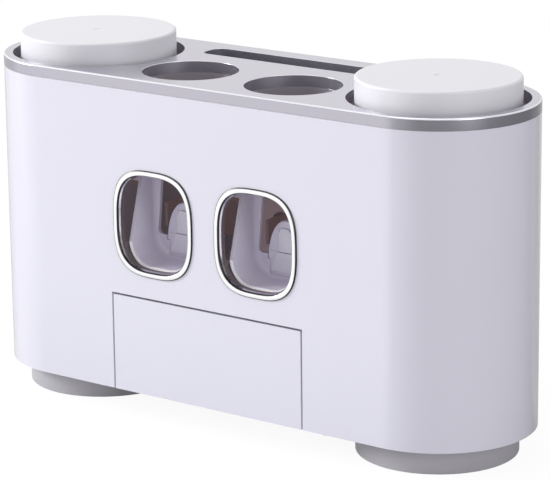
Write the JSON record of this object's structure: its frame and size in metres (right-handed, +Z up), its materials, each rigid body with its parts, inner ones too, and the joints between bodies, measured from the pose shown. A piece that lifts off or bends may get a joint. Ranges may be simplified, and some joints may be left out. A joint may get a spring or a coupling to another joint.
{
  "type": "toothpaste dispenser",
  "caption": "Wall-hung bathroom unit with push-in toothpaste pumps behind chrome-rimmed windows, a grey storage tray, magnetic cups and a flap over a toothbrush rack.",
  "frame": {"origin": "centre of the whole unit in plan, at the rims of the lower cups", "axes": "+X to the right seen from the front, +Y towards the wall, +Z up"},
  "size_m": [0.3052, 0.099, 0.1846],
  "materials": {
    "shell_white": "polished moulded plastic, pale cool white",
    "tray_grey": "fine satin moulded plastic",
    "sleeve_grey": "satin moulded plastic",
    "inner_white": "plain moulded plastic",
    "rack_grey": "plain moulded plastic",
    "bezel_chrome": "mirror-plated plastic",
    "tub_lavender": "satin moulded plastic, pale lavender grey",
    "silicone": "translucent soft silicone",
    "seal_rubber": "soft matte rubber",
    "steel": "plain bright steel",
    "magnet": "nickel-plated",
    "cup_white": "soft matte plastic, white",
    "cup_grey": "soft matte plastic, mid grey",
    "plate_white": "plain moulded plastic",
    "tape": "foam adhesive strip"
  },
  "bodies": {
    "body": {"outer_shell": "shell_white", "top_tray": "tray_grey", "storage_bin": "tray_grey", "left_cup_sleeve": "sleeve_grey", "right_cup_sleeve": "sleeve_grey", "left_tube_guide": "sleeve_grey", "right_tube_guide": "sleeve_grey", "base_plate": "inner_white", "brush_compartment": "inner_white", "left_pump_block": "inner_white", "right_pump_block": "inner_white", "toothbrush_rack": "rack_grey", "left_window_bezel": "bezel_chrome", "right_window_bezel": "bezel_chrome", "left_dispenser_tub": "tub_lavender", "right_dispenser_tub": "tub_lavender", "left_outlet_nozzle": "tub_lavender", "right_outlet_nozzle": "tub_lavender", "left_inlet_valve": "silicone", "right_inlet_valve": "silicone", "left_pump_bellows": "silicone", "right_pump_bellows": "silicone", "left_inlet_seal": "seal_rubber", "right_inlet_seal": "seal_rubber", "flap_hinge_pins": "steel", "base_screws": "steel", "dispenser_screws": "steel", "left_lever_pin": "steel", "right_lever_pin": "steel", "left_return_spring": "steel", "right_return_spring": "steel", "left_divider_magnet": "magnet", "right_divider_magnet": "magnet"},
    "left_lever": {"left_push_lever": "tub_lavender"},
    "right_lever": {"right_push_lever": "tub_lavender"},
    "left_plunger": {"left_plunger": "tub_lavender"},
    "right_plunger": {"right_plunger": "tub_lavender"},
    "upper_left_cup": {"upper_left_cup": "cup_white"},
    "upper_right_cup": {"upper_right_cup": "cup_white"},
    "lower_left_cup": {"lower_left_cup": "cup_grey", "lower_left_magnet": "magnet"},
    "lower_right_cup": {"lower_right_cup": "cup_grey", "lower_right_magnet": "magnet"},
    "flap": {"front_flap": "shell_white"},
    "wall_plate": {"wall_plate": "plate_white", "wall_tape": "tape"}
  },
  "joints": [
    {"name": "left_lever_push", "type": "hinge", "parent": "body", "child": "left_lever", "pos_m": [-0.0314, -0.0199, 0.0813], "axis": [-1, 0, 0], "range_deg": [0, 9]},
    {"name": "left_plunger_slide", "type": "slide", "parent": "body", "child": "left_plunger", "axis": [0, 1, 0], "range_m": [0, 0.00297], "stiffness_N_per_m": 140, "deforming": ["left_pump_bellows", "left_return_spring"]},
    {"name": "right_lever_push", "type": "hinge", "parent": "body", "child": "right_lever", "pos_m": [0.0314, -0.0199, 0.0813], "axis": [-1, 0, 0], "range_deg": [0, 9]},
    {"name": "right_plunger_slide", "type": "slide", "parent": "body", "child": "right_plunger", "axis": [0, 1, 0], "range_m": [0, 0.00297], "stiffness_N_per_m": 140, "deforming": ["right_pump_bellows", "right_return_spring"]},
    {"name": "upper_left_cup_lift", "type": "slide", "parent": "body", "child": "upper_left_cup", "axis": [0, 0, 1], "range_m": [0, 0.09]},
    {"name": "upper_right_cup_lift", "type": "slide", "parent": "body", "child": "upper_right_cup", "axis": [0, 0, 1], "range_m": [0, 0.09]},
    {"name": "lower_left_cup_pull", "type": "slide", "parent": "body", "child": "lower_left_cup", "axis": [0, 0, -1], "range_m": [0, 0.09]},
    {"name": "lower_right_cup_pull", "type": "slide", "parent": "body", "child": "lower_right_cup", "axis": [0, 0, -1], "range_m": [0, 0.09]},
    {"name": "flap_hinge", "type": "hinge", "parent": "body", "child": "flap", "pos_m": [0, -0.044, 0.0589], "axis": [-1, 0, 0], "range_deg": [0, 90]},
    {"name": "wall_plate_unhook", "type": "slide", "parent": "body", "child": "wall_plate", "axis": [0, 0, -1], "range_m": [0, 0.012]}
  ],
  "couplings": [
    {"joint": "left_lever_push", "follows": "left_plunger_slide", "rad_per_m": 52.87},
    {"joint": "right_lever_push", "follows": "right_plunger_slide", "rad_per_m": 52.87}
  ]
}
